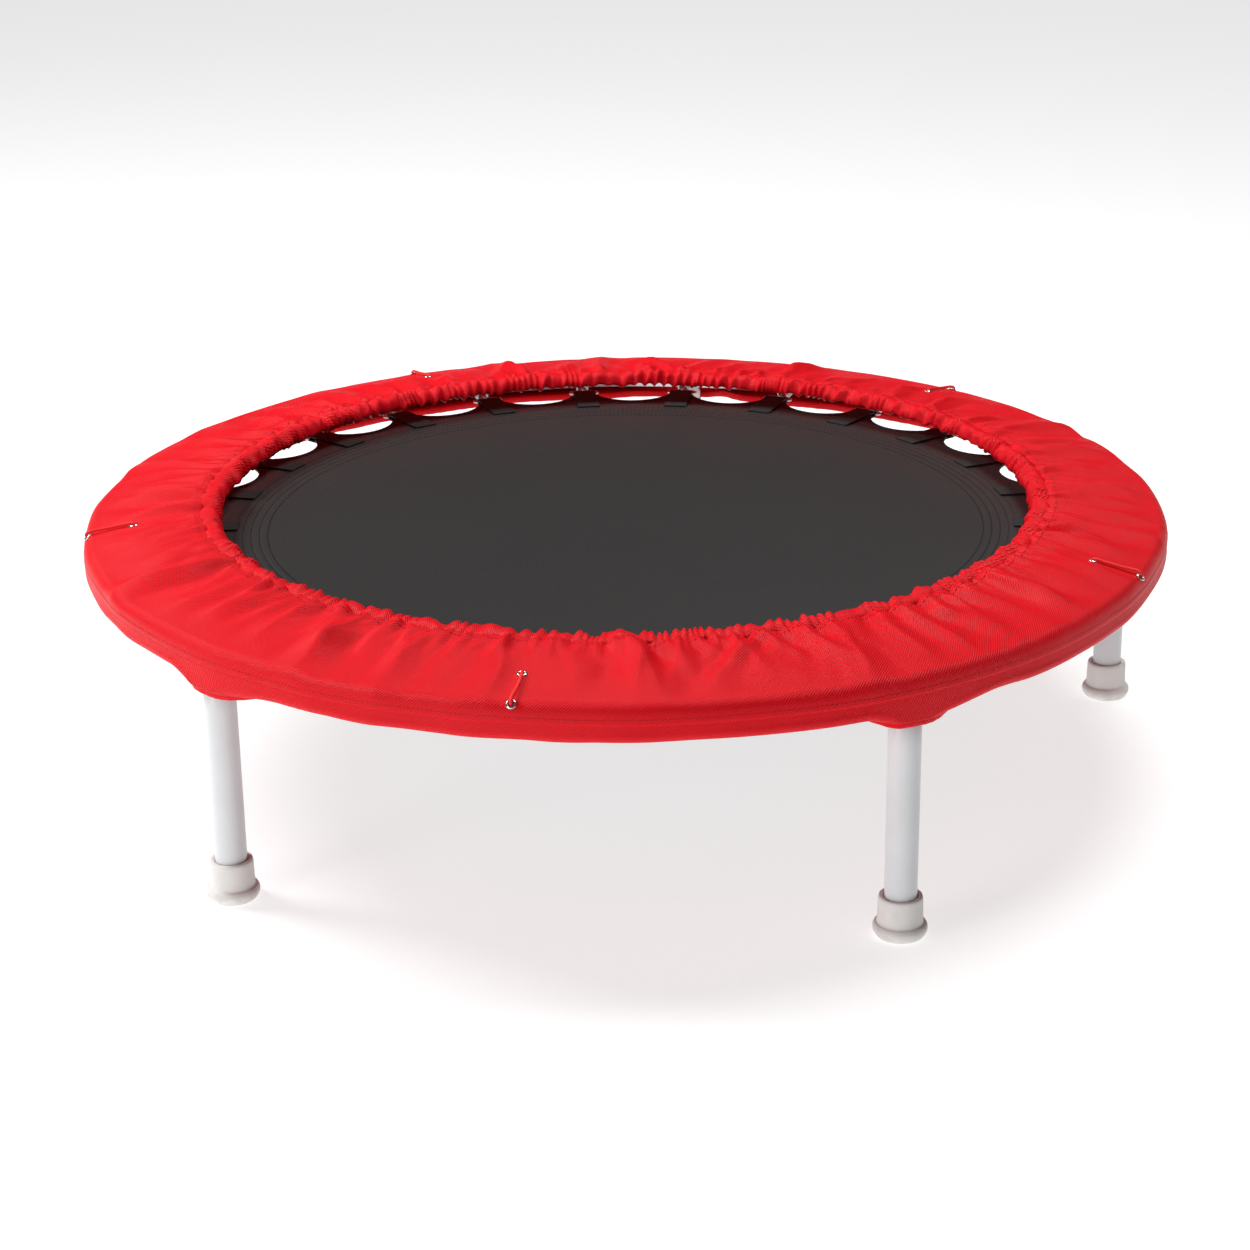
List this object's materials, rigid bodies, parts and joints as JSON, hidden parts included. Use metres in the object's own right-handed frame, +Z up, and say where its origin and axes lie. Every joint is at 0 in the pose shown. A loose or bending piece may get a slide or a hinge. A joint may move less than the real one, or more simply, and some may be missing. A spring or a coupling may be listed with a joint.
{
  "type": "mini trampoline",
  "caption": "Round mini trampoline: woven mat sprung inside a tube ring, gathered fabric edge cover, and screw-in tube legs with rubber feet.",
  "frame": {"origin": "on the floor, under the centre of the mat", "axes": "+Z up, out of the mat; leg 1 stands 9.43 degrees from +X towards +Y"},
  "size_m": [1.0269, 1.027, 0.2582],
  "materials": {
    "frame_white": "white powder coat, satin",
    "leg_white": "white powder coat, satin",
    "zinc_steel": "zinc plated",
    "washer_nylon": "natural nylon",
    "foot_rubber": "off-white, matte",
    "spring_steel": "zinc plated wire",
    "mat_weave": "tight woven polypropylene, slight sheen",
    "black_webbing": "woven webbing",
    "red_twill": "polyester twill, slight sheen",
    "white_elastic": "knitted elastic",
    "nickel": "nickel plated",
    "red_cord": "braided elastic cord"
  },
  "bodies": {
    "frame": {"frame_ring": "frame_white", "leg_socket_1": "frame_white", "leg_socket_2": "frame_white", "leg_socket_3": "frame_white", "leg_socket_4": "frame_white", "leg_socket_5": "frame_white", "springs": "spring_steel", "cover_top_panel": "red_twill", "cover_side_band": "red_twill", "cover_under_hem": "red_twill", "under_hem_elastic": "white_elastic", "cover_inner_casing": "red_twill", "inner_casing_elastic": "white_elastic", "eyelets": "nickel", "eyelet_washers": "nickel", "tie_cords": "red_cord"},
    "mat": {"mat_fabric": "mat_weave", "mat_edge_binding": "black_webbing", "mat_edge_reinforcement": "black_webbing", "mat_tabs": "black_webbing", "tab_rings": "spring_steel"},
    "leg_washer_1": {"leg_washer_1": "washer_nylon"},
    "leg_1": {"leg_tube_1": "leg_white", "leg_plug_1": "leg_white", "leg_stud_1": "zinc_steel", "leg_foot_1": "foot_rubber"},
    "leg_washer_2": {"leg_washer_2": "washer_nylon"},
    "leg_2": {"leg_tube_2": "leg_white", "leg_plug_2": "leg_white", "leg_stud_2": "zinc_steel", "leg_foot_2": "foot_rubber"},
    "leg_washer_3": {"leg_washer_3": "washer_nylon"},
    "leg_3": {"leg_tube_3": "leg_white", "leg_plug_3": "leg_white", "leg_stud_3": "zinc_steel", "leg_foot_3": "foot_rubber"},
    "leg_washer_4": {"leg_washer_4": "washer_nylon"},
    "leg_4": {"leg_tube_4": "leg_white", "leg_plug_4": "leg_white", "leg_stud_4": "zinc_steel", "leg_foot_4": "foot_rubber"},
    "leg_washer_5": {"leg_washer_5": "washer_nylon"},
    "leg_5": {"leg_tube_5": "leg_white", "leg_plug_5": "leg_white", "leg_stud_5": "zinc_steel", "leg_foot_5": "foot_rubber"}
  },
  "joints": [
    {"name": "leg_1_travel", "type": "slide", "parent": "frame", "child": "leg_washer_1", "axis": [0, 0, -1], "range_m": [0, 0.0211]},
    {"name": "leg_1_turn", "type": "hinge", "parent": "leg_washer_1", "child": "leg_1", "pos_m": [0.48782, 0.08102, 0.2], "axis": [0, 0, -1], "range_deg": [0, 4320]},
    {"name": "leg_2_travel", "type": "slide", "parent": "frame", "child": "leg_washer_2", "axis": [0, 0, -1], "range_m": [0, 0.0211]},
    {"name": "leg_2_turn", "type": "hinge", "parent": "leg_washer_2", "child": "leg_2", "pos_m": [0.07369, 0.48898, 0.2], "axis": [0, 0, -1], "range_deg": [0, 4320]},
    {"name": "leg_3_travel", "type": "slide", "parent": "frame", "child": "leg_washer_3", "axis": [0, 0, -1], "range_m": [0, 0.0211]},
    {"name": "leg_3_turn", "type": "hinge", "parent": "leg_washer_3", "child": "leg_3", "pos_m": [-0.44227, 0.22118, 0.2], "axis": [0, 0, -1], "range_deg": [0, 4320]},
    {"name": "leg_4_travel", "type": "slide", "parent": "frame", "child": "leg_washer_4", "axis": [0, 0, -1], "range_m": [0, 0.0211]},
    {"name": "leg_4_turn", "type": "hinge", "parent": "leg_washer_4", "child": "leg_4", "pos_m": [-0.34703, -0.35228, 0.2], "axis": [0, 0, -1], "range_deg": [0, 4320]},
    {"name": "leg_5_travel", "type": "slide", "parent": "frame", "child": "leg_washer_5", "axis": [0, 0, -1], "range_m": [0, 0.0211]},
    {"name": "leg_5_turn", "type": "hinge", "parent": "leg_washer_5", "child": "leg_5", "pos_m": [0.2278, -0.4389, 0.2], "axis": [0, 0, -1], "range_deg": [0, 4320]},
    {"name": "mat_bounce", "type": "slide", "parent": "frame", "child": "mat", "axis": [0, 0, -1], "range_m": [0, 0.04], "stiffness_N_per_m": 12000, "springref_m": -0.002, "deforming": ["springs"]}
  ],
  "couplings": [
    {"joint": "leg_1_travel", "follows": "leg_1_turn", "m_per_rad": 0.00027852},
    {"joint": "leg_2_travel", "follows": "leg_2_turn", "m_per_rad": 0.00027852},
    {"joint": "leg_3_travel", "follows": "leg_3_turn", "m_per_rad": 0.00027852},
    {"joint": "leg_4_travel", "follows": "leg_4_turn", "m_per_rad": 0.00027852},
    {"joint": "leg_5_travel", "follows": "leg_5_turn", "m_per_rad": 0.00027852}
  ]
}
